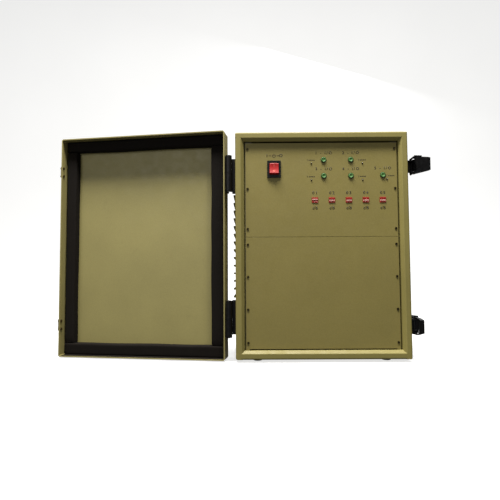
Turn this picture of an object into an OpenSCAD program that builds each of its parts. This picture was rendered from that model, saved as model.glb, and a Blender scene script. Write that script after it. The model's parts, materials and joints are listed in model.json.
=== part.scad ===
// Wall or bench cabinet of a five-band cellular signal booster.
// +X is right, +Y is the back, +Z is up. The origin is on the ground, below the middle of the front frame.
// The door is drawn open, as the cabinet stands with its controls in use.

/* [Cabinet] */
// Width of the front frame
cab_w = 320; // [300:1:340]
// Height of the front frame
cab_h = 418.5; // [400:0.5:440]
// Height of the rubber feet
foot_h = 5.5; // [5.5:0.5:10]
// Depth from the frame to the back of the shell
shell_back_y = 150; // [130:1:180]
// How far the shell's side is inside the frame's side
shell_inset = 14; // [12:0.5:15]
// Wall of the cast shell
shell_wall = 4; // [3:0.5:4.5]

/* [Front frame] */
// Width of the frame's rim, seen from the front
rim_w = 16; // [15:0.5:17]
// Front of the rim's flat face, in front of the y = 0 plane
rim_crown = 5.5; // [5:0.5:6]
// Distance from the frame's side to the end of the rim's flat face
rim_flat_end = 9.5; // [8:0.5:10]
// Slope of the rim's inner bevel
rim_slope = 48; // [45:1:50]
// Rounding of the rim's outer edge
rim_round = 3; // [2:0.5:4]
// Rounding of the frame's outer corners
frame_corner_r = 4; // [2:0.5:6]
// How far the frame's flange reaches back
frame_back_y = 36; // [30:1:40]

/* [Panels] */
// Front face of both panels, behind the y = 0 plane
panel_y = 2.5; // [2:0.25:4]
// Thickness of the panels
panel_t = 2; // [1.5:0.25:2.5]
// Height of the line between the upper and lower panels
split_z = 229; // [210:1:250]
// Gap between the two panels, and below the lower one's corners
panel_gap = 0.5; // [0.3:0.1:1]
// Gap between the panels' sides and the frame
panel_side_gap = 2.8; // [1.5:0.1:3]
// Height of the slot below the lower panel
panel_slot_h = 1.8; // [0.5:0.1:2]
// Distance of the panel screws from the middle of the cabinet
screw_x = 137.2; // [136:0.1:138]

/* [Controls] */
// Middle of the power rocker, across
rocker_x = -87.7; // [-95:0.1:-80]
// Middle of the power rocker, up
rocker_z = 355.8; // [345:0.1:360]
// Travel of the rocker, from one side to the other, in degrees
rocker_travel = 14; // [10:1:16]
// Radius of a push button's cap
button_r = 4.4; // [4:0.1:4.6]
// Distance between the attenuator switches
dip_pitch = 31.5; // [30:0.1:32]
// Height of the row of attenuator switches
dip_z = 297.4; // [290:0.1:300]
// Travel of an attenuator slider
dip_travel = 1.9; // [1.5:0.1:2]

/* [Door] */
// Width of the door, outside
door_w = 330.5; // [326:0.5:334]
// Height of the door, outside
door_h = 428; // [424:0.5:432]
// Bottom edge of the door
door_z0 = 2.5; // [2:0.5:4]
// Sheet thickness of the door tray
door_wall = 2; // [1.5:0.25:2.5]
// Depth of the door tray, from its outside face to its lip
door_depth = 31; // [29:0.5:32]
// Where the lip is when the door is closed
door_lip_y = 8; // [7:0.5:8]
// Angle to which the door is drawn open
door_open = 188.7; // [100:0.1:188.7]
// Width of the foam gasket on the hinge side
gasket_hinge_w = 26; // [22:1:28]
// Width of the foam gasket on the free side
gasket_free_w = 21; // [20:1:28]
// Width of the foam gasket along the top
gasket_top_w = 21.5; // [20:0.5:28]
// Width of the foam gasket along the bottom
gasket_low_w = 23; // [20:0.5:28]
// Thickness of the foam gasket
gasket_t = 15.1; // [8:0.1:15.1]

/* [Hinges] */
// Axis of the hinges, across
hinge_x = -172.6; // [-172.7:0.1:-172.5]
// Axis of the hinges, front to back
hinge_y = 4.3; // [4.2:0.1:4.4]
// Radius of the hinge knuckles
knuckle_r = 6; // [5.5:0.1:6]
// Height of a hinge
hinge_h = 67; // [60:1:70]
// Middle of the upper hinge
hinge_top_z = 349; // [340:1:352]
// Middle of the lower hinge
hinge_low_z = 78; // [75:1:90]
// Radius of a hinge pin
hinge_pin_r = 2.5; // [2:0.1:3]

/* [Latches] */
// Middle of the upper latch
latch_top_z = 365; // [360:1:368]
// Middle of the lower latch
latch_low_z = 63.5; // [60:0.5:66]
// Pivot of a latch lever, across
latch_x = 171.8; // [171.6:0.1:172]
// Pivot of a latch lever, front to back
latch_y = 27; // [27:0.1:27.5]
// Length of a latch lever, from its pivot
lever_len = 38; // [32:0.1:40]
// Height of a latch
latch_h = 33; // [32:0.5:34]
// Distance from the hook's pin to its cross bar
hook_len = 37; // [36.8:0.1:37.2]
// How far the lower hook is swung out, clear of the keeper, in degrees
hook_clear = 10; // [10:1:12]

/* [Cooling fins] */
// Distance between fins
fin_pitch = 15; // [12:1:20]
// Thickness of a fin
fin_t = 3; // [2:0.5:4]
// Tips of the side fins, from the middle of the cabinet
fin_tip_x = 165; // [162:0.5:166]
// Number of fins on each side
side_fins = 14; // [8:1:14]
// Height of the lowest side fin
side_fin_z = 116; // [112:1:120]
// Number of fins on the back
back_fins = 17; // [9:2:19]
// Depth of the fins on the back
back_fin_d = 34; // [20:1:40]

/* [Mounting] */
// Distance between the wall holes, across
wall_hole_dx = 260; // [240:1:270]
// Distance between the wall holes, up
wall_hole_dz = 314; // [300:1:320]
// Radius of a wall hole
wall_hole_r = 4.5; // [3:0.5:5]
// Radius over the thread of an antenna connector
conn_thread_r = 7.94; // [7.9:0.01:8]
// Radius of the cable gland's bore
gland_bore_r = 4; // [3:0.5:5]

/* [Hidden] */
$fn = 48;

frame_z0 = foot_h;
frame_z1 = foot_h + cab_h;
open_x = cab_w / 2 - rim_w;
open_z0 = frame_z0 + rim_w;
open_z1 = frame_z1 - rim_w;
frame_web_y = 9;
frame_skin = 4;

shell_x = cab_w / 2 - shell_inset;
shell_z0 = frame_z0 + 11.5;
shell_z1 = frame_z1 - 11;
inner_x = shell_x - shell_wall;
inner_y = shell_back_y - shell_wall;

panel_back_y = panel_y + panel_t;
panel_x = open_x - panel_side_gap;
panel_slot_x = 135;
upper_screw_z = [394, 319, 244];
lower_screw_z = [215, 155.5, 95.5, 35];

// Each row is a button's place, then its alarm lamp's place
buttons = [[5, 373, -18, 366], [55.5, 373, 77.5, 366],
           [5, 342.8, -18, 335], [55.5, 342.8, 77.5, 335], [115, 343.8, 122.7, 336]];
button_count = len(buttons);
lamp_r = 1.5;

dip_count = 5;
dip_poles = 4;
dip_x0 = 51 - 2 * dip_pitch;
dip_size = [11.7, 6, 9.9];
dip_front_y = 1.5;
board_y = dip_front_y + dip_size[1];
pole_pitch = 2.54;
slider = [1.7, 3.3, 2.2];
// The first switch is set high, so its sliders start at the top of their slots
dip_set_high = [true, false, false, false, false];

door_x = door_w / 2;
door_face_y = door_lip_y - door_depth;
door_z1 = door_z0 + door_h;
door_floor_y = door_face_y + door_wall;

knuckle_gap = 0.3;
leaf_t = 3;
cabinet_leaf_t = 6.8;

lever_crank_r = 6.5;
lever_crank_a = 130;
hook_pin = [latch_x + lever_crank_r * cos(lever_crank_a), latch_y + lever_crank_r * sin(lever_crank_a)];
hub_z = 8.5;
hub_r = 4.3;
cheek_z0 = 9;
cheek_t = 2;
arm_r = 1.8;
arm_z = latch_h / 2 - 2;
pivot_r = 1.5;
fit = 0.05;

back_plate_y = shell_back_y + 6;
wall_y = back_plate_y + back_fin_d + 5;
wall_mid_z = 215;

// ---------- helpers ----------

// A box from two corners
module slab(low, high) {
    translate(low) cube(high - low);
}

// A cylinder along +Y, from y0 to y1
module rod_y(x, z, r, y0, y1) {
    translate([x, y0, z]) rotate([-90, 0, 0]) cylinder(r = r, h = y1 - y0);
}

// A cylinder along +X, from x0 to x1
module rod_x(y, z, r, x0, x1) {
    translate([x0, y, z]) rotate([0, 90, 0]) cylinder(r = r, h = x1 - x0);
}

// Its children on the right side and mirrored to the left side
module both_sides() {
    children();
    mirror([1, 0, 0]) children();
}

// What is drawn for the closed door, turned to where the door stands open
module open_door() {
    translate([hinge_x, hinge_y, 0])
        rotate([0, 0, -door_open])
            translate([-hinge_x, -hinge_y, 0]) children();
}

// A rectangle with round corners, extruded along +Y
module rounded_block(low, high, r) {
    slab([low[0] + r, low[1], low[2]], [high[0] - r, high[1], high[2]]);
    slab([low[0], low[1], low[2] + r], [high[0], high[1], high[2] - r]);
    for (x = [low[0] + r, high[0] - r])
        for (z = [low[2] + r, high[2] - r])
            rod_y(x, z, r, low[1], high[1]);
}

// ---------- cabinet ----------

module shell_box() {
    difference() {
        rounded_block([-shell_x, frame_web_y, shell_z0], [shell_x, shell_back_y, shell_z1], 6);
        slab([-inner_x, frame_web_y - 1, shell_z0 + shell_wall], [inner_x, inner_y, shell_z1 - shell_wall]);
    }
}

// Fins that run from front to back on the cabinet's side
module side_fin_set() {
    for (i = [0:side_fins - 1])
        slab([shell_x - 1, frame_back_y + 1, side_fin_z + i * fin_pitch],
             [fin_tip_x, shell_back_y - 4, side_fin_z + i * fin_pitch + fin_t]);
}

// Solid pads that carry the latch bases out to the frame's side
module latch_pads() {
    for (z = [latch_low_z, latch_top_z])
        slab([shell_x - 1, frame_back_y, z - 20], [cab_w / 2, frame_back_y + 28, z + 20]);
}

conn_x = [-60, 60];
conn_low = 3;
conn_y = 95;
gland_x = 0;
stud_x = 100;

module cabinet_shell() {
    color("#8a834d") difference() {
        union() {
            shell_box();
            both_sides() side_fin_set();
            latch_pads();
        }
        for (x = conn_x)
            translate([x, conn_y, shell_z0 - 1]) cylinder(r = 8.1, h = shell_wall + 2);
        translate([gland_x, conn_y, shell_z0 - 1]) cylinder(r = 8.1, h = shell_wall + 2);
        translate([stud_x, conn_y, shell_z0 - 1]) cylinder(r = 3.1, h = shell_wall + 2);
        cabinet_screw_holes();
    }
}

module rear_heatsink() {
    color("#7f7a4c") {
        slab([-132, shell_back_y, 78], [132, back_plate_y, 352]);
        for (i = [0:back_fins - 1])
            translate([(i - (back_fins - 1) / 2) * fin_pitch - fin_t / 2, back_plate_y - 1, 78])
                cube([fin_t, back_fin_d + 1, 274]);
    }
}

// Section of the frame: [distance in from the side, depth].
// Its flat face lies between a round outer edge and a bevel that falls towards the panels.
bevel_r = 2.5;
bevel_end = rim_w - 0.6;
outer_arc = [for (a = [0:15:90]) [rim_round * (1 - cos(a)), rim_round * (1 - sin(a)) - rim_crown]];
bevel_arc = [for (a = [0:rim_slope / 4:rim_slope])
    [rim_flat_end + bevel_r * sin(a), bevel_r * (1 - cos(a)) - rim_crown]];
bevel_low = bevel_r * (1 - cos(rim_slope)) - rim_crown
    + (bevel_end - rim_flat_end - bevel_r * sin(rim_slope)) * tan(rim_slope);
frame_section = concat(
    [[0, frame_back_y]],
    outer_arc,
    bevel_arc,
    [[bevel_end, bevel_low], [rim_w, bevel_low + 0.9], [rim_w, frame_web_y], [frame_skin, frame_web_y],
     [frame_skin, frame_back_y]]);

// One side of the frame, mitred at both ends; its outer face is at x = 0 and it runs up from z = 0
module frame_bar(length) {
    difference() {
        linear_extrude(length) polygon(frame_section);
        translate([0, -50, 0]) rotate([0, 45, 0]) translate([0, 0, -60]) cube([60, 100, 60]);
        translate([0, -50, length]) rotate([0, 45, 0]) cube([60, 100, 60]);
    }
}

module front_frame() {
    color("#8a834d") difference() {
        intersection() {
            union() {
                for (side = [0, 1])
                    mirror([side, 0, 0]) translate([-cab_w / 2, 0, frame_z0]) frame_bar(cab_h);
                translate([-cab_w / 2, 0, frame_z0]) rotate([0, 90, 0]) mirror([1, 0, 0]) frame_bar(cab_w);
                translate([-cab_w / 2, 0, frame_z1]) rotate([0, 90, 0]) frame_bar(cab_w);
            }
            rounded_block([-cab_w / 2, -rim_crown - 1, frame_z0], [cab_w / 2, frame_back_y + 1, frame_z1],
                          frame_corner_r);
        }
        cabinet_screw_holes();
    }
}

module rubber_feet() {
    color("#1a1a1a")
        for (x = [-120, 120])
            for (place = [[24, frame_z0], [125, shell_z0]])
                difference() {
                    translate([x, place[0], 0]) {
                        cylinder(r1 = 8, r2 = 9, h = 4, $fn = 48);
                        translate([0, 0, 4]) cylinder(r = 9, h = place[1] - 4);
                    }
                    translate([x, place[0], -1]) cylinder(r = 2.2, h = 4);
                }
}

// Angle bars behind the panels' edges, drilled for the panel screws
module panel_rails() {
    color("#b8b8b4") both_sides() difference() {
        union() {
            slab([inner_x - 13, panel_back_y, shell_z0 + shell_wall + 2], [inner_x, panel_back_y + 3, shell_z1 - 6]);
            slab([inner_x - 3, panel_back_y, shell_z0 + shell_wall + 2], [inner_x, panel_back_y + 18, shell_z1 - 6]);
        }
        for (z = concat(upper_screw_z, lower_screw_z))
            rod_y(screw_x, z, 1.5, panel_back_y - 1, panel_back_y + 5);
    }
}

// ---------- panels and controls ----------

module panel_sheet(z0, z1, screw_heights) {
    difference() {
        slab([-panel_x, panel_y, z0], [panel_x, panel_back_y, z1]);
        for (x = [-screw_x, screw_x])
            for (z = screw_heights)
                rod_y(x, z, 1.7, panel_y - 1, panel_back_y + 1);
    }
}

function dip_x(d) = dip_x0 + (d - 1) * dip_pitch;

module upper_panel() {
    color("#82784a") difference() {
        panel_sheet(split_z + panel_gap / 2, open_z1 - panel_side_gap, upper_screw_z);
        slab([rocker_x - 10.9, panel_y - 1, rocker_z - 13.7], [rocker_x + 10.9, panel_back_y + 1, rocker_z + 13.7]);
        for (b = buttons) {
            rod_y(b[0], b[1], button_r + 0.6, panel_y - 1, panel_back_y + 1);
            rod_y(b[2], b[3], lamp_r + 0.1, panel_y - 1, panel_back_y + 1);
        }
        for (d = [1:dip_count])
            slab([dip_x(d) - dip_size[0] / 2 - 0.2, panel_y - 1, dip_z - dip_size[2] / 2 - 0.2],
                 [dip_x(d) + dip_size[0] / 2 + 0.2, panel_back_y + 1, dip_z + dip_size[2] / 2 + 0.2]);
    }
}

module lower_panel() {
    low = open_z0 + panel_gap;
    color("#756a46") difference() {
        panel_sheet(low, split_z - panel_gap / 2, lower_screw_z);
        slab([-panel_slot_x, panel_y - 1, low - 1], [panel_slot_x, panel_back_y + 1, low + panel_slot_h]);
    }
}

// One cross-head screw, head towards the front
module panel_screw(x, z) {
    difference() {
        union() {
            rod_y(x, z, 2.2, panel_y - 1.1, panel_y);
            rod_y(x, z, 1.45, panel_y, panel_back_y + 6);
        }
        for (s = [[0.3, 1.4], [1.4, 0.3]])
            slab([x - s[0], panel_y - 2, z - s[1]], [x + s[0], panel_y - 0.5, z + s[1]]);
    }
}

module panel_screws() {
    color("#3b3528")
        for (x = [-screw_x, screw_x])
            for (z = concat(upper_screw_z, lower_screw_z)) panel_screw(x, z);
}

rocker_face = [25.5, 32];
rocker_well = [17.2, 20.8];
rocker_pivot_y = panel_y + 1.6;

module rocker_housing() {
    color("#141414") difference() {
        union() {
            rounded_block([rocker_x - rocker_face[0] / 2, panel_y - 2.2, rocker_z - rocker_face[1] / 2],
                          [rocker_x + rocker_face[0] / 2, panel_y, rocker_z + rocker_face[1] / 2], 1.2);
            slab([rocker_x - 10.7, panel_y - 1, rocker_z - 13.5], [rocker_x + 10.7, panel_y + 20, rocker_z + 13.5]);
            for (z = [-8, 0, 8])
                slab([rocker_x - 3.2, panel_y + 19, rocker_z + z - 0.4],
                     [rocker_x + 3.2, panel_y + 28, rocker_z + z + 0.4]);
        }
        slab([rocker_x - rocker_well[0] / 2, panel_y - 3, rocker_z - rocker_well[1] / 2],
             [rocker_x + rocker_well[0] / 2, panel_y + 7, rocker_z + rocker_well[1] / 2]);
        rod_x(rocker_pivot_y, rocker_z, 1.26, rocker_x - 12, rocker_x + 12);
    }
}

// The key is drawn with its upper half pressed in
module rocker_key() {
    key_x = rocker_well[0] / 2 - 0.3;
    key_z = rocker_well[1] / 2 - 0.6;
    color("#9c1f1b")
        translate([rocker_x, rocker_pivot_y, rocker_z]) rotate([-rocker_travel / 2, 0, 0]) {
            translate([-key_x, 0, 0]) rotate([90, 0, 90]) linear_extrude(2 * key_x)
                polygon([[-7.4, key_z - 1], [-6.9, key_z], [2.2, key_z], [2.2, -key_z], [-6.9, -key_z],
                         [-7.4, 1 - key_z], [-5.4, 0]]);
            rod_x(0, 0, 1.2, -10.2, 10.2);
        }
}

module button_bezels() {
    color("#20301c")
        for (b = buttons) difference() {
            union() {
                rod_y(b[0], b[1], button_r + 1, panel_y - 1, panel_y);
                rod_y(b[0], b[1], button_r + 0.5, panel_y, panel_y + 9);
            }
            rod_y(b[0], b[1], button_r + 0.08, panel_y - 2, panel_y + 10);
        }
}

module button_cap(n) {
    place = buttons[n - 1];
    color("#4e7a34") {
        rod_y(place[0], place[1], button_r, panel_y - 1.9, panel_y + 8);
        translate([place[0], panel_y - 1.9, place[1]]) rotate([90, 0, 0])
            cylinder(r1 = button_r, r2 = button_r - 0.7, h = 0.7, $fn = 48);
        rod_y(place[0], place[1], 2, panel_y + 8, panel_y + 9.5);
    }
}

module alarm_lamps() {
    color("#2c2418")
        for (b = buttons) {
            rod_y(b[2], b[3], lamp_r, panel_y, board_y);
            translate([b[2], panel_y, b[3]]) sphere(r = lamp_r, $fn = 32);
        }
}

function pole_x(d, p) = dip_x(d) + (p - (dip_poles + 1) / 2) * pole_pitch;

module dip_housings() {
    slot_x = slider[0] / 2 + fit;
    slot_z = (slider[2] + dip_travel) / 2 + fit;
    color("#8c2f22")
        for (d = [1:dip_count]) difference() {
            translate([dip_x(d) - dip_size[0] / 2, dip_front_y, dip_z - dip_size[2] / 2]) cube(dip_size);
            for (p = [1:dip_poles])
                slab([pole_x(d, p) - slot_x, dip_front_y - 1, dip_z - slot_z],
                     [pole_x(d, p) + slot_x, dip_front_y + 2.8, dip_z + slot_z]);
        }
}

module dip_slider(d, p) {
    shift = (dip_set_high[d - 1] ? 1 : -1) * dip_travel / 2;
    color("#e8cfc4")
        translate([pole_x(d, p) - slider[0] / 2, dip_front_y - 0.7, dip_z + shift - slider[2] / 2]) cube(slider);
}

// ---------- what the cabinet holds ----------

module control_board() {
    color("#1f5a34") difference() {
        union() {
            slab([-30, board_y, 272], [126, board_y + 1.6, 392]);
            for (x = [-26, 122])
                for (z = [276, 388])
                    rod_y(x, z, 3, panel_back_y, board_y + 0.1);
            slab([12, board_y + 1.5, 300], [36, board_y + 4, 324]);
            slab([86, board_y + 1.5, 374], [116, board_y + 10, 382]);
        }
        for (b = buttons)
            rod_y(b[0], b[1], button_r + 0.9, board_y - 1, board_y + 3);
    }
}

module power_supply() {
    color("#c9cacb") {
        slab([-128, inner_y - 50, 40], [-28, inner_y, 200]);
        slab([-122, inner_y - 56, 60], [-106, inner_y - 50, 120]);
    }
}

// One screened radio module for each band, bolted to the back wall
module band_modules() {
    for (i = [0:4])
        color("#a9acae") translate([-116 + i * 58 - 22, inner_y - 36, 226]) difference() {
            union() {
                cube([44, 36, 150]);
                for (x = [12, 32]) translate([x, 16, -8]) cylinder(r = 4, h = 9);
            }
            translate([2, -1, 2]) cube([40, 2, 146]);
        }
}

module duplexers() {
    color("#bfc0bd")
        for (i = [0, 1]) translate([0, inner_y - 40, 40 + i * 88]) {
            cube([124, 40, 76]);
            for (x = [18:22:106])
                for (z = [20, 56])
                    rod_y(x, z, 3, -5, 0.5);
        }
}

// N-type sockets: a square flange inside a round nut, then the threaded barrel
module antenna_connectors() {
    for (x = conn_x) color("#c8c4b4") translate([x, conn_y, 0]) difference() {
        union() {
            translate([0, 0, conn_low]) cylinder(r = conn_thread_r, h = shell_z0 + shell_wall + 6 - conn_low);
            translate([0, 0, shell_z0 - 3]) cylinder(r = 12, h = 3, $fn = 6);
            translate([0, 0, shell_z0 + shell_wall]) cylinder(r = 12, h = 3);
        }
        translate([0, 0, conn_low - 1]) difference() {
            cylinder(r = 4.2, h = 10);
            cylinder(r = 1.5, h = 10);
        }
    }
}

module cable_gland() {
    color("#1c1c1c") translate([gland_x, conn_y, 0]) difference() {
        union() {
            translate([0, 0, 3]) cylinder(r1 = 8, r2 = 11, h = 7, $fn = 48);
            translate([0, 0, 10]) cylinder(r = 13, h = shell_z0 - 10, $fn = 6);
            translate([0, 0, shell_z0]) cylinder(r = 8, h = shell_wall + 5);
            translate([0, 0, shell_z0 + shell_wall]) cylinder(r = 12, h = 4, $fn = 6);
        }
        translate([0, 0, 2]) cylinder(r = gland_bore_r, h = shell_z0 + shell_wall + 5);
    }
}

module ground_stud() {
    color("#c2a24a") translate([stud_x, conn_y, 0]) {
        translate([0, 0, 4]) cylinder(r = 3, h = shell_z0 + shell_wall + 4);
        translate([0, 0, shell_z0 - 5]) cylinder(r = 5.8, h = 5, $fn = 6);
        translate([0, 0, shell_z0 + shell_wall]) cylinder(r = 5.8, h = 3, $fn = 6);
    }
}

// Two rails on end plates, with a hole at each end for the wall
module wall_brackets() {
    color("#8f9091")
        for (z = [wall_mid_z - wall_hole_dz / 2, wall_mid_z + wall_hole_dz / 2])
            difference() {
                union() {
                    slab([-146, wall_y - 3, z - 16], [146, wall_y, z + 16]);
                    both_sides() {
                        slab([137, shell_back_y, z - 16], [140, wall_y - 3, z + 16]);
                        slab([118, shell_back_y, z - 16], [140, shell_back_y + 3, z + 16]);
                    }
                }
                for (x = [-wall_hole_dx / 2, wall_hole_dx / 2])
                    rod_y(x, z, wall_hole_r, wall_y - 4, wall_y + 1);
            }
}

// ---------- hinges ----------

// Each hinge is drawn about its own middle; the upper one has the door's knuckle on top
module at_hinges() {
    translate([0, 0, hinge_top_z]) children();
    translate([0, 0, hinge_low_z]) mirror([0, 0, 1]) children();
}

hinge_screw_z = [28, 9];
hinge_screw_y = -8;
leaf_screw_z = [-24, 18];
leaf_screw_y = 26;

module cabinet_hinge_leaf() {
    leaf_x = -cab_w / 2 - cabinet_leaf_t;
    half = hinge_h / 2;
    difference() {
        union() {
            slab([leaf_x, frame_web_y, -half], [-cab_w / 2, 34, half - 5]);
            translate([hinge_x, hinge_y, -half]) cylinder(r = knuckle_r, h = half - knuckle_gap);
            translate([0, 0, -half]) linear_extrude(half - knuckle_gap)
                polygon([[hinge_x, hinge_y], [hinge_x + 5.6, hinge_y], [leaf_x - 0.8, frame_web_y - 0.6],
                         [leaf_x, frame_web_y + 0.2], [leaf_x + 1, frame_web_y + 0.2], [leaf_x + 1, 15],
                         [leaf_x, 15], [hinge_x, hinge_y + knuckle_r - 0.1]]);
        }
        translate([hinge_x, hinge_y, -half - 1]) cylinder(r = hinge_pin_r + fit, h = hinge_h + 2);
        for (z = leaf_screw_z)
            rod_x(leaf_screw_y, z, 2.15, leaf_x - 1, -cab_w / 2 + 1);
    }
}

module cabinet_hinge_leaves() {
    color("#121110") at_hinges() cabinet_hinge_leaf();
}

module door_hinge_leaf() {
    half = hinge_h / 2;
    outside = -door_x;
    difference() {
        union() {
            slab([outside - leaf_t, -21, -half], [outside, hinge_y - knuckle_r - 0.2, half]);
            translate([hinge_x, hinge_y, knuckle_gap]) cylinder(r = knuckle_r, h = half - knuckle_gap);
            slab([hinge_x, hinge_y - 8.3, knuckle_gap], [outside, hinge_y - 2, half]);
        }
        translate([hinge_x, hinge_y, -half - 1]) cylinder(r = hinge_pin_r + fit, h = hinge_h + 2);
        for (z = hinge_screw_z)
            rod_x(hinge_screw_y, z, 2.15, outside - leaf_t - 1, outside + 1);
    }
}

module door_hinge_leaves() {
    color("#121110") open_door() at_hinges() door_hinge_leaf();
}

module hinge_pins() {
    color("#6e6d6a") at_hinges()
        translate([hinge_x, hinge_y, -hinge_h / 2]) {
            cylinder(r = hinge_pin_r, h = hinge_h + 1);
            translate([0, 0, -1]) cylinder(r = hinge_pin_r + 1, h = 1);
        }
}

// ---------- screws that hold the hinges, latches and keepers ----------

// A pan-head screw along X: the head is outside x, the shank goes inwards by depth; side is -1 or 1
module side_screw(x, y, z, side, depth, head_r = 3.4, shank_r = 2) {
    difference() {
        rod_x(y, z, head_r, min(x, x + side * 1.8), max(x, x + side * 1.8));
        for (s = [[0.3, head_r * 0.6], [head_r * 0.6, 0.3]])
            slab([x + side * 1.8 - 0.7, y - s[0], z - s[1]], [x + side * 1.8 + 0.7, y + s[0], z + s[1]]);
    }
    rod_x(y, z, shank_r, min(x, x - side * depth), max(x, x - side * depth));
}

latch_screw_y = 50;
latch_screw_z = 8;

module cabinet_screw_holes() {
    at_hinges() for (z = leaf_screw_z)
        rod_x(leaf_screw_y, z, 2.05, -cab_w / 2 - 1, -cab_w / 2 + 9);
    for (lz = [latch_low_z, latch_top_z])
        for (z = [-latch_screw_z, latch_screw_z])
            rod_x(latch_screw_y, lz + z, 2.05, cab_w / 2 - 9, cab_w / 2 + 1);
}

module cabinet_screws() {
    color("#2a2a28") {
        at_hinges() for (z = leaf_screw_z)
            side_screw(-cab_w / 2 - cabinet_leaf_t, leaf_screw_y, z, -1, cabinet_leaf_t + 7);
        for (lz = [latch_low_z, latch_top_z])
            for (z = [-latch_screw_z, latch_screw_z])
                side_screw(cab_w / 2 + 2.5, latch_screw_y, lz + z, 1, 10);
    }
}

keeper_screw_z = 7.8;
keeper_screw_y = 3.2;
keeper_screw_r = 1.4;
nut_t = 1.6;
keeper_t = 1.75;

// A screw through the door's side wall and a fitting outside it, stack thick, with a flat nut inside
module door_screw(x, y, z, side, stack, head_r = 3.4, shank_r = 2) {
    side_screw(x + side * stack, y, z, side, stack + door_wall + nut_t, head_r, shank_r);
    nut_x = x - side * door_wall;
    rod_x(y, z, shank_r + 1.3, min(nut_x, nut_x - side * nut_t), max(nut_x, nut_x - side * nut_t));
}

module door_screws() {
    color("#b9a46a") open_door() {
        at_hinges() for (z = hinge_screw_z)
            door_screw(-door_x, hinge_screw_y, z, -1, leaf_t);
        for (lz = [latch_low_z, latch_top_z])
            for (z = [-keeper_screw_z, keeper_screw_z])
                door_screw(door_x, keeper_screw_y, lz + z, 1, keeper_t, 2.2, keeper_screw_r);
    }
}

// ---------- door ----------

skirt_t = 0.5;

module door_tray() {
    color("#8d8552") open_door() difference() {
        rounded_block([-door_x, door_face_y, door_z0], [door_x, door_lip_y, door_z1], 4);
        rounded_block([door_wall - door_x, door_floor_y, door_z0 + door_wall],
                      [door_x - door_wall, door_lip_y + 1, door_z1 - door_wall], 2);
        at_hinges() for (z = hinge_screw_z)
            rod_x(hinge_screw_y, z, 2.05, -door_x - 1, -door_x + door_wall + 1);
        for (lz = [latch_low_z, latch_top_z])
            for (z = [-keeper_screw_z, keeper_screw_z])
                rod_x(keeper_screw_y, lz + z, keeper_screw_r + fit, door_x - door_wall - 1, door_x + 1);
    }
}

// A foam ring as high as the tray, and a thin skirt of it along the tray's bottom wall
module door_gasket() {
    gap = door_wall + 1.9;
    rest = door_wall + fit;
    color("#191410") open_door() {
        difference() {
            slab([gap - door_x, door_floor_y, door_z0 + rest], [door_x - gap, door_floor_y + gasket_t, door_z1 - rest]);
            slab([gap + gasket_hinge_w - door_x, door_floor_y - 1, door_z0 + rest + gasket_low_w],
                 [door_x - gap - gasket_free_w, door_floor_y + gasket_t + 1, door_z1 - rest - gasket_top_w]);
        }
        slab([gap - door_x, door_floor_y, door_z0 + rest], [door_x - gap, door_lip_y - 1, door_z0 + rest + skirt_t]);
    }
}

catch_x = 6.4;
catch_z = 4.4;

// A plate on the door's free side with a catch that the hook's cross bar sits behind
module latch_keepers() {
    outside = door_x;
    color("#a8925a") open_door()
        for (z = [latch_low_z, latch_top_z]) difference() {
            union() {
                slab([outside, -2.6, z - 10.8], [outside + keeper_t, 7, z + 10.8]);
                slab([outside, -2.6, z - catch_z], [outside + catch_x, -0.6, z + catch_z]);
                slab([outside + catch_x - 1.7, -6.4, z - catch_z], [outside + catch_x, -0.6, z + catch_z]);
            }
            for (s = [-keeper_screw_z, keeper_screw_z])
                rod_x(keeper_screw_y, z + s, keeper_screw_r + 0.1, outside - 1, outside + 3);
        }
}

// ---------- latches ----------

module latch_base() {
    side = cab_w / 2;
    difference() {
        union() {
            slab([side, 14, -14], [side + 2.5, 60, 14]);
            translate([0, 0, -hub_z]) linear_extrude(2 * hub_z) union() {
                polygon([[side + 2, latch_y - 8], [latch_x - 1, latch_y - 4.2],
                         [latch_x - 1, latch_y + 4.2], [side + 2, latch_y + 8]]);
                translate([latch_x, latch_y]) circle(r = hub_r);
            }
        }
        translate([latch_x, latch_y, -hub_z - 1]) cylinder(r = pivot_r + fit, h = 2 * hub_z + 2);
        for (z = [-latch_screw_z, latch_screw_z])
            rod_x(latch_screw_y, z, 2.1, side - 1, side + 4);
    }
}

module latch_bases() {
    color("#161514")
        for (z = [latch_low_z, latch_top_z]) translate([0, 0, z]) latch_base();
}

module latch_pivot_pins() {
    color("#7a7976")
        for (z = [latch_low_z, latch_top_z])
            translate([latch_x, latch_y, z - cheek_z0 - cheek_t - 0.4])
                cylinder(r = pivot_r, h = 2 * (cheek_z0 + cheek_t + 0.4));
}

// The lever is drawn closed, about its pivot: x is outwards, y is towards the back, z is from its middle
lever_out = 14;
lever_in = 3;
lever_start = 7.2;
web_start = hub_r + 0.4;
lever_skin = 2.4;
lever_tip_top = 15;
lever_tip_low = -8.5;

// Outline of the handle, [towards the back, up], narrower at the tip, and drawn smaller by inset
module handle_outline(inset) {
    polygon([[lever_start - 1 + inset * 0.4, -latch_h / 2 + inset], [lever_start - 1 + inset * 0.4, latch_h / 2 - inset],
             [lever_len - inset, lever_tip_top - inset], [lever_len - inset, lever_tip_low + inset]]);
}

module handle_block(x0, x1, inset) {
    translate([x0, 0, 0]) rotate([90, 0, 90]) linear_extrude(x1 - x0) handle_outline(inset);
}

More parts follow.
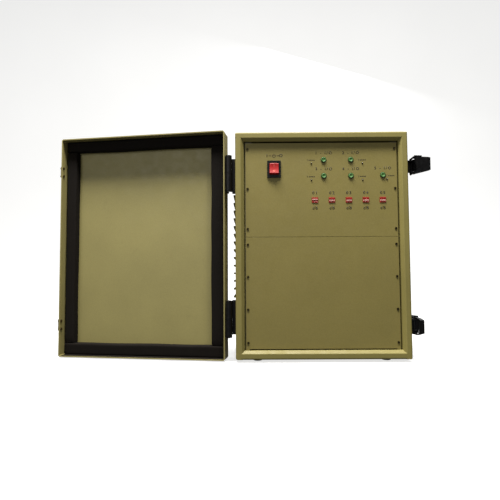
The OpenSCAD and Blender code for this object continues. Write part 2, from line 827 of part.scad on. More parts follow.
module latch_lever() {
    crank = [lever_crank_r * cos(lever_crank_a), lever_crank_r * sin(lever_crank_a)];
    difference() {
        union() {
            intersection() {
                difference() {
                    handle_block(lever_in, lever_out, 0);
                    handle_block(lever_in - 1, lever_out - lever_skin, 2);
                    slab([lever_in - 1, 0, -latch_h / 2 + 2], [lever_out - lever_skin, lever_start + 2, latch_h / 2 - 2]);
                }
                slab([lever_in, lever_start, -latch_h], [lever_out, lever_len, latch_h]);
                translate([lever_out - 30, 0, -latch_h])
                    linear_extrude(2 * latch_h) polygon([[0, 0], [30, 0], [30, lever_len - 5], [27, lever_len], [0, lever_len]]);
            }
            slab([-1, web_start, -cheek_z0 - 0.2], [lever_out, lever_start + 0.2, cheek_z0 + 0.2]);
            for (z0 = [cheek_z0, -cheek_z0 - cheek_t])
                translate([0, 0, z0]) linear_extrude(cheek_t) union() {
                    circle(r = 4.6);
                    translate(crank) circle(r = 3.2);
                    polygon([[-2, -4], [lever_in, -3.5], [lever_out - 1, lever_start + 1],
                             [lever_out - 1, lever_start + 7], [lever_in, lever_start + 4], crank + [0, 3.1]]);
                }
        }
        translate([0, 0, -cheek_z0 - cheek_t - 1]) cylinder(r = pivot_r + fit, h = 2 * (cheek_z0 + cheek_t) + 2);
        translate([crank[0], crank[1], -cheek_z0 - cheek_t - 1])
            cylinder(r = arm_r + fit, h = 2 * (cheek_z0 + cheek_t) + 2);
    }
}

module lever_at(z, turn) {
    translate([latch_x, latch_y, z]) rotate([0, 0, turn]) latch_lever();
}

module upper_latch_lever() {
    color("#141312") lever_at(latch_top_z, -90);
}

module lower_latch_lever() {
    color("#141312") lever_at(latch_low_z, 0);
}

cup_in = -1.2;
cup_out = 6.7;
cup_skin = 1.8;
cup_half_h = arm_z + arm_r;
cup_front_h = 12;
cup_front = hook_len + 4;
cup_shoulder = 27;
cup_back = 24;

// Section of the cup at the hook's end, [outwards, up], from x0, and drawn smaller by inset
module cup_section(x0, inset) {
    r = 5 - inset;
    x1 = cup_out - inset;
    half_h = cup_half_h - inset;
    translate([x0, -half_h]) square([x1 - r - x0, 2 * half_h]);
    translate([x0, r - half_h]) square([x1 - x0, 2 * (half_h - r)]);
    for (s = [-1, 1]) translate([x1 - r, s * (half_h - r)]) circle(r = r);
}

// The cup as a block from x0: it narrows towards its front; smaller by inset, and longer at its back by extra
module cup_block(x0, inset, extra) {
    back = extra - cup_back;
    front = inset - cup_front;
    half_h = cup_half_h - inset;
    front_h = cup_front_h - inset;
    intersection() {
        translate([0, back, 0]) rotate([90, 0, 0]) linear_extrude(back - front) cup_section(x0 - 1, inset);
        translate([x0, 0, 0]) rotate([90, 0, 90]) linear_extrude(cup_out - x0 + 1)
            polygon([[back, half_h], [-cup_shoulder, half_h], [front, front_h],
                     [front, -front_h], [-cup_shoulder, -half_h], [back, -half_h]]);
    }
}

// The hook is drawn pointing forwards, about its pin. Its cup goes round the catch, and is open
// towards the door and at its back.
module latch_hook() {
    for (s = [-1, 1]) {
        translate([0, 0, s * (cheek_z0 + 0.2 + (arm_z - cheek_z0) / 2) - (arm_z - cheek_z0) / 2])
            cylinder(r = arm_r, h = arm_z - cheek_z0);
        translate([0, 0, s * arm_z]) {
            sphere(r = arm_r, $fn = 32);
            rod_y(0, 0, arm_r, -cup_shoulder, 0);
        }
    }
    translate([0, -hook_len, -cup_front_h]) cylinder(r = arm_r, h = 2 * cup_front_h);
    difference() {
        cup_block(cup_in, 0, 0);
        cup_block(cup_in - 1, cup_skin, 1);
    }
}

module hook_at(pin, z, turn) {
    translate([pin[0], pin[1], z]) rotate([0, 0, turn]) latch_hook();
}

// With its lever open, the crank has carried the upper hook's pin a quarter turn round the pivot
module upper_latch_hook() {
    open_a = lever_crank_a - 90;
    pin = [latch_x + lever_crank_r * cos(open_a), latch_y + lever_crank_r * sin(open_a)];
    color("#161514") hook_at(pin, latch_top_z, 0);
}

module lower_latch_hook() {
    color("#161514") hook_at(hook_pin, latch_low_z, hook_clear);
}

cabinet_shell();
rear_heatsink();
front_frame();
rubber_feet();
panel_rails();
upper_panel();
lower_panel();
panel_screws();
rocker_housing();
rocker_key();
button_bezels();
alarm_lamps();
dip_housings();
control_board();
power_supply();
band_modules();
duplexers();
antenna_connectors();
cable_gland();
ground_stud();
wall_brackets();
cabinet_hinge_leaves();
hinge_pins();
cabinet_screws();
door_tray();
door_gasket();
door_hinge_leaves();
door_screws();
latch_keepers();
latch_bases();
latch_pivot_pins();
upper_latch_lever();
lower_latch_lever();
upper_latch_hook();
lower_latch_hook();
for (b = [1:button_count])
    button_cap(b);
for (d = [1:dip_count])
    for (p = [1:dip_poles])
        dip_slider(d, p);
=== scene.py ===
"""Looks of the cellular signal booster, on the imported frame: paint, foam, printed marks, camera and light."""
import json
import math

import bmesh
import bpy
from mathutils import Matrix, Vector, noise


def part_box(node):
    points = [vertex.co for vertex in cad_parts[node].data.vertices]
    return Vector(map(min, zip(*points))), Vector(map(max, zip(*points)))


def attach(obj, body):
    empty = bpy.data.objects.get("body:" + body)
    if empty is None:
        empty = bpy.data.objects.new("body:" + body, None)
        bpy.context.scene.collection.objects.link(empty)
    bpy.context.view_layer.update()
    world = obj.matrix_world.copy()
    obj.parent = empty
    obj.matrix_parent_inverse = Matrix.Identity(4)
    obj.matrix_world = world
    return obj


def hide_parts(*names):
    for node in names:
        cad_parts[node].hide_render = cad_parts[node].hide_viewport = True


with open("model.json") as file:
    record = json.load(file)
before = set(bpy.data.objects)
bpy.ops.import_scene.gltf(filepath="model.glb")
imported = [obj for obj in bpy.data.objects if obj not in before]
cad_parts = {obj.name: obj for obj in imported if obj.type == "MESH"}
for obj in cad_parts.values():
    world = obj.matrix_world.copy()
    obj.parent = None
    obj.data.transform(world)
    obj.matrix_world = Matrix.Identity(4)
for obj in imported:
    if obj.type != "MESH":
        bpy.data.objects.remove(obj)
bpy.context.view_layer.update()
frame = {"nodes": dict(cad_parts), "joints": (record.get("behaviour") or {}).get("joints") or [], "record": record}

MM = 0.001
NODE_BODY = {n: b for b, ns in frame["record"]["behaviour"]["bodies"].items() for n in ns}
NODE_SLOT = {row["node"]: row["material_slot"] for row in frame["record"]["subparts"]}
JOINTS = {j["name"]: j for j in frame["joints"]}


def srgb(r, g, b):
    """A colour given as 0-255 display values, in the linear values that shaders take."""
    def linear(v):
        v /= 255
        return v / 12.92 if v <= 0.04045 else ((v + 0.055) / 1.055) ** 2.4
    return (linear(r), linear(g), linear(b), 1.0)


def scaled(colour, k):
    return tuple(min(1.0, c * k) for c in colour[:3]) + (1.0,)


# ---------- camera, floor and light ----------

CAMERA_AT = Vector((-0.1295, -0.8151, 0.1606))
CAMERA_YAW, CAMERA_PITCH, CAMERA_ROLL = (math.radians(a) for a in (0.27, 3.12, -0.32))
CAMERA_LENS = 31.88


def make_camera():
    right = Vector((math.cos(CAMERA_YAW), math.sin(CAMERA_YAW), 0))
    ahead = Vector((-math.sin(CAMERA_YAW) * math.cos(CAMERA_PITCH),
                    math.cos(CAMERA_YAW) * math.cos(CAMERA_PITCH), math.sin(CAMERA_PITCH)))
    up = right.cross(ahead)
    side = right * math.cos(CAMERA_ROLL) + up * math.sin(CAMERA_ROLL)
    top = up * math.cos(CAMERA_ROLL) - right * math.sin(CAMERA_ROLL)
    data = bpy.data.cameras.new("camera")
    data.lens = CAMERA_LENS
    data.sensor_width = 36
    data.clip_start = 0.01
    camera = bpy.data.objects.new("camera", data)
    turn = Matrix((side, top, -ahead)).transposed().to_4x4()
    camera.matrix_world = Matrix.Translation(CAMERA_AT) @ turn
    bpy.context.scene.collection.objects.link(camera)
    bpy.context.scene.camera = camera


def area_light(name, place, target, size, power, colour=(1, 1, 1)):
    data = bpy.data.lights.new(name, "AREA")
    data.shape = "RECTANGLE"
    data.size, data.size_y = size
    data.energy = power
    data.color = colour
    light = bpy.data.objects.new(name, data)
    light.location = place
    light.rotation_euler = (Vector(target) - Vector(place)).to_track_quat("-Z", "Y").to_euler()
    bpy.context.scene.collection.objects.link(light)


def make_lights():
    area_light("softbox", (-0.24, -0.42, 1.90), (-0.14, 0.0, 0.22), (1.3, 0.34), 74, (1.0, 0.975, 0.93))
    area_light("front_fill", (-1.3, -2.3, 0.9), (-0.3, 0, 0.25), (1.2, 0.8), 9, (1.0, 0.98, 0.94))
    area_light("rear_softbox", (0.5, 1.9, 1.9), (0, 0.1, 0.2), (1.2, 1.0), 22, (0.97, 0.985, 1.0))
    world = bpy.data.worlds.new("studio")
    world.use_nodes = True
    world.node_tree.nodes["Background"].inputs["Color"].default_value = (0.93, 0.95, 1.0, 1)
    world.node_tree.nodes["Background"].inputs["Strength"].default_value = 0.13
    bpy.context.scene.world = world
    view = bpy.context.scene.view_settings
    view.view_transform = "Standard"
    view.look = "None"
    view.exposure = 0
    view.gamma = 1


def make_backdrop(material):
    """A floor that curves up into a wall well behind the object, in one sheet."""
    half_width, front, back, radius, top = 4.0, -3.5, 2.2, 0.9, 3.4
    profile = [(front, 0.0), (back - radius, 0.0)]
    profile += [(back - radius + radius * math.sin(a), radius - radius * math.cos(a))
                for a in (math.radians(9 * i) for i in range(1, 11))]
    profile.append((back, top))
    bm = bmesh.new()
    rows = [[bm.verts.new((x, y, z)) for x in (-half_width, half_width)] for y, z in profile]
    for low, high in zip(rows, rows[1:]):
        bm.faces.new((low[0], low[1], high[1], high[0])).smooth = True
    backdrop = mesh_object("backdrop", bm, material)
    backdrop.visible_diffuse = False
    backdrop.visible_glossy = False


# ---------- mesh helpers ----------

def mesh_object(name, bm, *materials):
    mesh = bpy.data.meshes.new(name)
    bm.to_mesh(mesh)
    bm.free()
    for m in materials:
        mesh.materials.append(m)
    obj = bpy.data.objects.new(name, mesh)
    bpy.context.scene.collection.objects.link(obj)
    return obj


def finish_piece(obj, body, slot, *nodes):
    """Ties a piece to its body and hides the CAD nodes it stands for. The slot argument is not used."""
    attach(obj, body)
    if nodes:
        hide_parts(*nodes)
    return obj


def softened(node, width, segments=2, sharp=27):
    """The CAD node's own shape with its sharp edges rounded, standing for the node."""
    bm = bmesh.new()
    bm.from_mesh(frame["nodes"][node].data)
    bmesh.ops.remove_doubles(bm, verts=bm.verts, dist=0.000002)
    bmesh.ops.dissolve_limit(bm, angle_limit=math.radians(0.5), verts=bm.verts, edges=bm.edges)
    edges = [e for e in bm.edges if len(e.link_faces) == 2 and e.calc_face_angle(0) > math.radians(sharp)]
    bmesh.ops.bevel(bm, geom=edges, offset=width * MM, segments=segments, profile=0.5, affect="EDGES",
                    clamp_overlap=True, harden_normals=False)
    bmesh.ops.recalc_face_normals(bm, faces=bm.faces)
    for f in bm.faces:
        f.smooth = True
    piece = mesh_object(node + "_formed", bm, MATERIALS[NODE_SLOT[node]])
    piece.data.set_sharp_from_angle(angle=math.radians(40))
    flat_faces_win(piece)
    return finish_piece(piece, NODE_BODY[node], NODE_SLOT[node], node)


def flat_faces_win(piece):
    """Big flat faces keep their own normal, so that only the rounded edges shade as curves."""
    mod = piece.modifiers.new("normals", "WEIGHTED_NORMAL")
    mod.mode = "FACE_AREA"
    mod.weight = 80
    mod.keep_sharp = True


def lathe(name, profile, place, axis, steps, material):
    """A turned piece: profile is [(radius, distance along the axis), ...] in millimetres."""
    bm = bmesh.new()
    turn = Vector((0, 0, 1)).rotation_difference(Vector(axis)).to_matrix()
    rings = []
    for r, h in profile:
        count = 1 if r == 0 else steps
        ring = []
        for i in range(count):
            a = 2 * math.pi * i / steps
            point = turn @ (Vector((r * math.cos(a), r * math.sin(a), h)) * MM) + Vector(place)
            ring.append(bm.verts.new(point))
        rings.append(ring)
    for low, high in zip(rings, rings[1:]):
        for i in range(steps):
            a, b = low[i % len(low)], low[(i + 1) % len(low)]
            c, d = high[(i + 1) % len(high)], high[i % len(high)]
            corners = list(dict.fromkeys((a, b, c, d)))
            if len(corners) > 2:
                bm.faces.new(corners).smooth = True
    bmesh.ops.recalc_face_normals(bm, faces=bm.faces)
    piece = mesh_object(name, bm, material)
    piece.data.set_sharp_from_angle(angle=math.radians(38))
    return piece


# ---------- materials ----------

class Shader:
    """A material with short calls for the nodes used here. Everything is placed by object coordinates."""

    def __init__(self, name):
        self.material = bpy.data.materials.new(name)
        self.material.use_nodes = True
        self.tree = self.material.node_tree
        self.bsdf = self.tree.nodes["Principled BSDF"]
        self.place = self.tree.nodes.new("ShaderNodeTexCoord").outputs["Object"]

    def link(self, a, b):
        self.tree.links.new(a, b)

    def noise(self, size_mm, detail=2.0, stretch=(1, 1, 1), rough=0.5, distortion=0.0):
        """A noise whose features are about size_mm across, stretched along the axes by stretch."""
        mapping = self.tree.nodes.new("ShaderNodeMapping")
        mapping.inputs["Scale"].default_value = [1 / s for s in stretch]
        node = self.tree.nodes.new("ShaderNodeTexNoise")
        node.inputs["Scale"].default_value = 1 / (size_mm * MM)
        node.inputs["Detail"].default_value = detail
        node.inputs["Roughness"].default_value = rough
        node.inputs["Distortion"].default_value = distortion
        self.link(self.place, mapping.inputs["Vector"])
        self.link(mapping.outputs["Vector"], node.inputs["Vector"])
        return node.outputs["Fac"]

    def cells(self, size_mm, stretch=(1, 1, 1)):
        mapping = self.tree.nodes.new("ShaderNodeMapping")
        mapping.inputs["Scale"].default_value = [1 / s for s in stretch]
        node = self.tree.nodes.new("ShaderNodeTexVoronoi")
        node.inputs["Scale"].default_value = 1 / (size_mm * MM)
        self.link(self.place, mapping.inputs["Vector"])
        self.link(mapping.outputs["Vector"], node.inputs["Vector"])
        return node.outputs["Distance"]

    def ramp(self, value, stops):
        """stops: [(position, colour), ...]"""
        node = self.tree.nodes.new("ShaderNodeValToRGB")
        ramp = node.color_ramp
        while len(ramp.elements) < len(stops):
            ramp.elements.new(0.5)
        for element, (at, colour) in zip(ramp.elements, stops):
            element.position = at
            element.color = colour
        self.link(value, node.inputs["Fac"])
        return node.outputs["Color"]

    def mix(self, factor, a, b, mode="MIX"):
        node = self.tree.nodes.new("ShaderNodeMix")
        node.data_type = "RGBA"
        node.blend_type = mode
        for socket, value in ((node.inputs["Factor"], factor), (node.inputs["A"], a), (node.inputs["B"], b)):
            self.feed(value, socket)
        return node.outputs["Result"]

    def feed(self, value, socket):
        if isinstance(value, bpy.types.NodeSocket):
            self.link(value, socket)
        else:
            socket.default_value = value

    def spread(self, value, low, high):
        """The value from 0.3 to 0.7, spread over low to high."""
        node = self.tree.nodes.new("ShaderNodeMapRange")
        node.inputs["From Min"].default_value = 0.3
        node.inputs["From Max"].default_value = 0.7
        node.inputs["To Min"].default_value = low
        node.inputs["To Max"].default_value = high
        self.link(value, node.inputs["Value"])
        return node.outputs["Result"]

    def bump(self, height, depth_mm, strength=1.0, under=None):
        node = self.tree.nodes.new("ShaderNodeBump")
        node.inputs["Distance"].default_value = depth_mm * MM
        node.inputs["Strength"].default_value = strength
        self.link(height, node.inputs["Height"])
        if under is not None:
            self.link(under, node.inputs["Normal"])
        self.link(node.outputs["Normal"], self.bsdf.inputs["Normal"])
        return node.outputs["Normal"]

    def set(self, **values):
        for key, value in values.items():
            self.feed(value, self.bsdf.inputs[key.replace("_", " ")])
        return self


def paint(name, colour, rough=0.45, drift=0.06, grain_mm=0.7, grain_depth=0.035, smudge=0.0):
    """Satin powder coat: fine pebbled skin, slow drift of colour, and faint handling marks."""
    s = Shader(name)
    slow = s.noise(90, 2)
    fine = s.noise(1.6, 3, rough=0.6)
    base = s.ramp(slow, [(0.3, scaled(colour, 1 - drift)), (0.7, scaled(colour, 1 + drift))])
    speck = s.ramp(fine, [(0.35, (0.93, 0.93, 0.93, 1)), (0.65, (1.04, 1.04, 1.04, 1))])
    tone = s.mix(1.0, base, speck, "MULTIPLY")
    if smudge:
        rub = s.noise(26, 4, stretch=(1, 1, 1.7), rough=0.65, distortion=0.8)
        mask = s.ramp(rub, [(0.60, (0, 0, 0, 1)), (0.78, (smudge, smudge, smudge, 1))])
        tone = s.mix(mask, tone, scaled(colour, 0.72))
    s.set(Base_Color=tone, Roughness=s.spread(s.noise(14, 3), rough - 0.06, rough + 0.08))
    skin = s.bump(s.noise(grain_mm, 2, rough=0.55), grain_depth, 0.5)
    s.bump(s.noise(35, 2), 0.12, 0.25, skin)
    s.set(Specular_IOR_Level=0.45)
    return s.material


def metal(name, colour, rough, lines, metallic=1.0):
    """Drawn or plated metal: fine lines along one axis and a cloudy roughness."""
    s = Shader(name)
    streak = s.noise(0.5, 3, stretch=lines, rough=0.6)
    cloud = s.noise(9, 3)
    base = s.ramp(cloud, [(0.3, scaled(colour, 0.84)), (0.7, scaled(colour, 1.1))])
    s.set(Base_Color=base, Roughness=s.spread(streak, rough - 0.08, rough + 0.12))
    s.bump(streak, 0.01, 0.5)
    s.set(Metallic=metallic)
    return s.material


def enamel(name, colour, rough, worn):
    """Black stoved finish on steel or a casting, slightly pitted, rubbed in patches to the worn colour."""
    s = Shader(name)
    pits = s.noise(0.6, 3, rough=0.65)
    patch = s.noise(7, 4, rough=0.6, distortion=0.4)
    tone = s.ramp(s.noise(12, 2), [(0.3, scaled(colour, 0.8)), (0.7, scaled(colour, 1.25))])
    tone = s.mix(s.ramp(patch, [(0.62, (0, 0, 0, 1)), (0.74, (0.55, 0.55, 0.55, 1))]), tone, worn)
    s.set(Base_Color=tone, Roughness=s.spread(patch, rough - 0.08, rough + 0.14))
    s.bump(pits, 0.03, 0.45)
    s.set(Specular_IOR_Level=0.35)
    return s.material


def plastic(name, colour, rough, coat=0.0, painted_glow=0.0):
    """Moulded plastic: very fine texture and a slow change of tone."""
    s = Shader(name)
    tone = s.ramp(s.noise(6, 2), [(0.3, scaled(colour, 0.92)), (0.7, scaled(colour, 1.08))])
    s.set(Base_Color=tone, Roughness=s.spread(s.noise(2.5, 3), rough - 0.05, rough + 0.07))
    s.bump(s.noise(0.35, 2), 0.012, 0.5)
    s.set(Coat_Weight=coat, Coat_Roughness=0.12)
    # A glow here is painted light: the plastic shines faintly in its own colour, with no lamp behind it
    if painted_glow:
        s.set(Emission_Color=colour, Emission_Strength=painted_glow)
    return s.material


def foam(name, colour):
    """Closed-cell foam: cut cells, matte, slightly dusty in places."""
    s = Shader(name)
    cells = s.cells(0.9)
    dust = s.noise(18, 4, rough=0.6, distortion=0.5)
    tone = s.ramp(cells, [(0.0, scaled(colour, 0.45)), (0.5, scaled(colour, 1.2))])
    tone = s.mix(s.ramp(dust, [(0.5, (0, 0, 0, 1)), (0.8, (0.3, 0.3, 0.3, 1))]), tone, scaled(colour, 2.4))
    s.set(Base_Color=tone, Roughness=s.spread(dust, 0.86, 0.97))
    under = s.bump(cells, 0.18, 0.7)
    s.bump(s.noise(5, 3), 0.35, 0.4, under)
    s.set(Specular_IOR_Level=0.2)
    return s.material


def circuit_board(name, colour):
    s = Shader(name)
    tracks = s.cells(3.2, stretch=(3, 1, 1))
    tone = s.ramp(tracks, [(0.0, scaled(colour, 1.6)), (0.12, scaled(colour, 1.6)), (0.16, colour)])
    s.set(Base_Color=tone, Roughness=s.spread(s.noise(4), 0.3, 0.45))
    s.bump(tracks, 0.05, 0.3)
    return s.material


def floor_material():
    s = Shader("pale_floor")
    tone = s.ramp(s.noise(400, 2), [(0.3, (0.48, 0.48, 0.475, 1)), (0.7, (0.52, 0.52, 0.515, 1))])
    s.set(Base_Color=tone, Roughness=0.9)
    s.set(Emission_Color=(1, 1, 0.99, 1), Emission_Strength=0.72, Specular_IOR_Level=0.1)
    return s.material


OLIVE = srgb(146, 136, 76)
OLIVE_PANEL = srgb(144, 132, 74)
# The door takes the cabinet's olive made lighter: painted light, the door's face shown more brightly lit than the
# cabinet front
LIT_OLIVE_DOOR = srgb(162, 152, 96)
BLACK = srgb(8, 7, 7)
WORN_BLACK = srgb(30, 28, 27)

MATERIALS = {
    "cabinet_paint": paint("cabinet_paint", OLIVE, 0.52),
    "heatsink_alloy": paint("heatsink_paint", scaled(OLIVE, 0.9), 0.5),
    "foot_rubber": foam("foot_rubber", srgb(34, 33, 32)),
    "rail_steel": metal("rail_steel", srgb(112, 110, 98), 0.45, (1, 1, 14)),
    "panel_paint": paint("panel_paint", OLIVE_PANEL, 0.48, drift=0.04, smudge=0.15),
    "screw_dark": metal("screw_dark", srgb(78, 70, 48), 0.42, (1, 1, 1)),
    "rocker_black": plastic("rocker_black", srgb(13, 13, 12), 0.34, coat=0.1),
    # The red key glows faintly: painted light that brightens it
    "rocker_red": plastic("rocker_red", srgb(176, 14, 14), 0.5, painted_glow=0.06),
    "button_bezel": plastic("button_bezel", srgb(38, 58, 28), 0.4),
    "button_green": plastic("button_green", srgb(84, 134, 66), 0.5),
    "lamp_lens": plastic("lamp_lens", srgb(48, 38, 24), 0.12, coat=0.8),
    "dip_red": plastic("dip_red", srgb(168, 36, 22), 0.6),
    "slider_white": plastic("slider_white", srgb(236, 196, 182), 0.4),
    "board_green": circuit_board("board_green", srgb(20, 84, 48)),
    "module_alloy": metal("module_alloy", srgb(190, 192, 194), 0.38, (14, 1, 1)),
    "nickel_brass": metal("nickel_brass", srgb(198, 192, 172), 0.24, (1, 1, 1)),
    "gland_black": plastic("gland_black", srgb(26, 26, 26), 0.45),
    "stud_brass": metal("stud_brass", srgb(196, 164, 90), 0.28, (1, 1, 1)),
    "bracket_steel": metal("bracket_steel", srgb(150, 151, 152), 0.4, (14, 1, 1)),
    "hinge_black": enamel("hinge_black", BLACK, 0.4, WORN_BLACK),
    "pin_steel": metal("pin_steel", srgb(128, 126, 122), 0.3, (1, 1, 14)),
    "fitting_screws": metal("fitting_screws", srgb(70, 68, 66), 0.4, (1, 1, 1)),
    # Lighter olive on the door: painted light
    "door_paint": paint("door_paint", LIT_OLIVE_DOOR, 0.45, drift=0.05, smudge=0.25),
    "gasket_foam": foam("gasket_foam", srgb(20, 16, 12)),
    "keeper_brass": metal("keeper_brass", srgb(84, 70, 38), 0.6, (1, 1, 1), metallic=0.6),
    "latch_black": enamel("latch_black", BLACK, 0.36, WORN_BLACK),
}


# ---------- pieces that stand for CAD nodes ----------

# Node name to the radius of its rounded edges, in millimetres
EDGE_ROUNDING = {
    "cabinet_shell": 1.0, "rear_heatsink": 0.5, "front_frame": 0.9, "rubber_feet": 0.8,
    "upper_panel": 0.3, "lower_panel": 0.3, "panel_screws": 0.2, "rocker_housing": 0.5, "rocker_key": 0.6,
    "button_bezels": 0.3, "dip_housings": 0.25, "wall_brackets": 0.5, "antenna_connectors": 0.3,
    "cable_gland": 0.5, "ground_stud": 0.3, "cabinet_hinge_leaves": 0.6, "hinge_pins": 0.4,
    "cabinet_screws": 0.3, "door_tray": 0.7, "door_hinge_leaves": 0.6, "door_screws": 0.3,
    "latch_keepers": 0.4, "latch_bases": 0.6, "latch_pivot_pins": 0.3,
    "upper_latch_lever": 0.7, "lower_latch_lever": 0.7, "upper_latch_hook": 0.5, "lower_latch_hook": 0.5,
}


def form_nodes():
    for node, obj in frame["nodes"].items():
        obj.data.materials.clear()
        obj.data.materials.append(MATERIALS[NODE_SLOT[node]])
        if node in EDGE_ROUNDING:
            softened(node, EDGE_ROUNDING[node])
        elif node.startswith("dip_slider"):
            softened(node, 0.15)


def door_at_rest():
    """Turns what is placed for the closed door to where the door stands open."""
    hinge = JOINTS["door_hinge"]
    axis_at = Vector(hinge["pos_m"])
    turn = Matrix.Rotation(-math.radians(hinge["range_deg"][1]), 4, "Z")
    return Matrix.Translation(axis_at) @ turn @ Matrix.Translation(-axis_at)


def closed_box(node):
    """The box of a door node with the door closed, and its highest face above its lower edge."""
    back = door_at_rest().inverted()
    points = [back @ v.co for v in frame["nodes"][node].data.vertices]
    low = Vector([min(p[i] for p in points) for i in range(3)])
    high = Vector([max(p[i] for p in points) for i in range(3)])
    upper_y = max(p.y for p in points if p.z > (low.z + high.z) / 2)
    return low, high, upper_y


# Widths of the gasket's four strips, the same as in the CAD, and the step along each strip
GASKET_HINGE_SIDE = 26 * MM
GASKET_FREE_SIDE = 21 * MM
GASKET_TOP = 21.5 * MM
GASKET_BOTTOM = 23 * MM
GASKET_STEP = 6 * MM
# Gap where strips are butted, how far their inner edges wander, and how uneven their tops are
GASKET_SLIT = 0.4 * MM
GASKET_WANDER = 1.3 * MM
GASKET_UNEVEN = 0.35 * MM
SKIRT_THICK = 0.44 * MM


def gasket_section(width, depth):
    """Half-soft rectangle: [across, up] points round the strip, with a slightly crowned top."""
    r = 3.2 * MM
    points = [(0, 0)]
    for i in range(7):
        a = math.radians(180 - 15 * i)
        points.append((r + r * math.cos(a), depth - r + r * math.sin(a)))
    for k in (0.3, 0.5, 0.7):
        points.append((width * k, depth - 0.0001))
    for i in range(7):
        a = math.radians(90 - 15 * i)
        points.append((width - r + r * math.cos(a), depth - r + r * math.sin(a)))
    points.append((width, 0))
    return points


def gasket_strip(bm, start, along, across, length, width, depth, seed):
    """One foam strip, stuck down by hand: its inner edge wanders a little and its top is slightly uneven."""
    count = max(2, round(length / GASKET_STEP))
    section = gasket_section(width, depth)
    rings = []
    for i in range(count + 1):
        t = i / count
        end = min(t, 1 - t) * count
        dip = 0.0012 * max(0.0, 1 - end / 1.5) ** 2
        wander = GASKET_WANDER * noise.noise(Vector((t * length * 14, seed * 7.3, 0.5)))
        ring = []
        for k, (u, v) in enumerate(section):
            lift = GASKET_UNEVEN * noise.noise(Vector((t * length * 60, u * 90, seed * 3.1)))
            share = u / width
            point = start + along * (t * length) + across * (u + wander * share)
            top = v - (dip + abs(lift)) * (v / depth)
            ring.append(bm.verts.new(point + Vector((0, 1, 0)) * top))
        rings.append(ring)
    for a, b in zip(rings, rings[1:]):
        for k in range(len(section) - 1):
            bm.faces.new((a[k], a[k + 1], b[k + 1], b[k])).smooth = True
        bm.faces.new((a[-1], a[0], b[0], b[-1])).smooth = True
    bm.faces.new(rings[0])
    bm.faces.new(list(reversed(rings[-1])))


def make_gasket():
    """Four foam strips, butted at the corners, and a thin skirt that covers the tray's bottom wall."""
    low, high, top = closed_box("door_gasket")
    depth = top - low.y - 0.0002
    x0, x1, z0, z1 = low.x, high.x, low.z, high.z
    upright_z = z0 + GASKET_BOTTOM + GASKET_SLIT
    upright = z1 - GASKET_TOP - GASKET_SLIT - upright_z
    strips = [
        (Vector((x0, low.y, z1)), Vector((1, 0, 0)), Vector((0, 0, -1)), x1 - x0, GASKET_TOP),
        (Vector((x0, low.y, z0)), Vector((1, 0, 0)), Vector((0, 0, 1)), x1 - x0, GASKET_BOTTOM),
        (Vector((x0, low.y, upright_z)), Vector((0, 0, 1)), Vector((1, 0, 0)), upright, GASKET_HINGE_SIDE),
        (Vector((x1, low.y, upright_z)), Vector((0, 0, 1)), Vector((-1, 0, 0)), upright, GASKET_FREE_SIDE),
    ]
    bm = bmesh.new()
    for seed, (start, along, over, length, width) in enumerate(strips):
        gasket_strip(bm, start, along, over, length, width - 0.0008, depth, seed + 1)
    if high.y > top + MM:
        gasket_skirt(bm, x0, x1, low.y + depth * 0.5, high.y, z0)
    bmesh.ops.recalc_face_normals(bm, faces=bm.faces)
    bm.transform(door_at_rest())
    piece = mesh_object("door_gasket_foam", bm, MATERIALS["gasket_foam"])
    piece.data.set_sharp_from_angle(angle=math.radians(50))
    finish_piece(piece, "door", "gasket_foam", "door_gasket")


def gasket_skirt(bm, x0, x1, y0, y1, z0):
    """A thin foam band on the bottom wall, whose front edge wanders a little."""
    count = 60
    rings = []
    for i in range(count + 1):
        x = x0 + (x1 - x0) * i / count
        edge = y1 - 0.0004 - 0.0006 * abs(noise.noise(Vector((x * 30, 2.7, 0.4))))
        section = [(y0, 0), (edge, 0), (edge, SKIRT_THICK * 0.6),
                   (edge - 0.0005, SKIRT_THICK), (y0, SKIRT_THICK)]
        rings.append([bm.verts.new((x, y, z0 + z)) for y, z in section])
    for a, b in zip(rings, rings[1:]):
        for k in range(len(a)):
            n = (k + 1) % len(a)
            bm.faces.new((a[k], a[n], b[n], b[k]))
    bm.faces.new(rings[0])
    bm.faces.new(list(reversed(rings[-1])))


def make_button(number):
    """A push cap with a shallow dish in its face and a moulded rim."""
    node = f"button_cap_{number}"
    low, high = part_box(node)
    centre = Vector(((low.x + high.x) / 2, low.y, (low.z + high.z) / 2))
    r = (high.x - low.x) / 2 / MM
    length = (high.y - low.y) / MM
    dish = [(0, 1.0), (1.4, 0.93), (2.3, 0.7), (2.9, 0.35), (3.15, 0.1)]
    rim = [(3.4, 0.0), (3.7, 0.03), (4.1, 0.28), (r, 0.75), (r, length - 1.6)]
    stem = [(2.0, length - 1.5), (2.0, length - 0.2), (1.8, length), (0, length)]
    profile = dish + rim + stem
    cap = lathe(f"button_cap_{number}_dished", profile, centre, (0, 1, 0), 40, MATERIALS["button_green"])
    finish_piece(cap, f"button_{number}", "button_green", node)


def make_lamp_lenses():
    """Domed lenses for the alarm lamps, with the small flange that seats them in the panel."""
    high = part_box("alarm_lamps")[1]
    panel_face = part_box("upper_panel")[0].y
    lenses = []
    for x, z in lamp_centres():
        r = 1.5
        angles = [math.radians(15 * i) for i in range(1, 6)]
        dome = [(0, -r)] + [(r * math.sin(a), -r * math.cos(a)) for a in angles]
        back = (high.y - panel_face) / MM
        profile = dome + [(r, 0.0), (r, back), (0, back)]
        place = Vector((x, panel_face, z))
        lenses.append(lathe("lens", profile, place, (0, 1, 0), 28, MATERIALS["lamp_lens"]))
    piece = joined("alarm_lamp_lenses", lenses)
    finish_piece(piece, "cabinet", "lamp_lens", "alarm_lamps")


def joined(name, objects):
    bpy.ops.object.select_all(action="DESELECT")
    for o in objects:
        o.select_set(True)
    bpy.context.view_layer.objects.active = objects[0]
    bpy.ops.object.join()
    objects[0].name = name
    return objects[0]


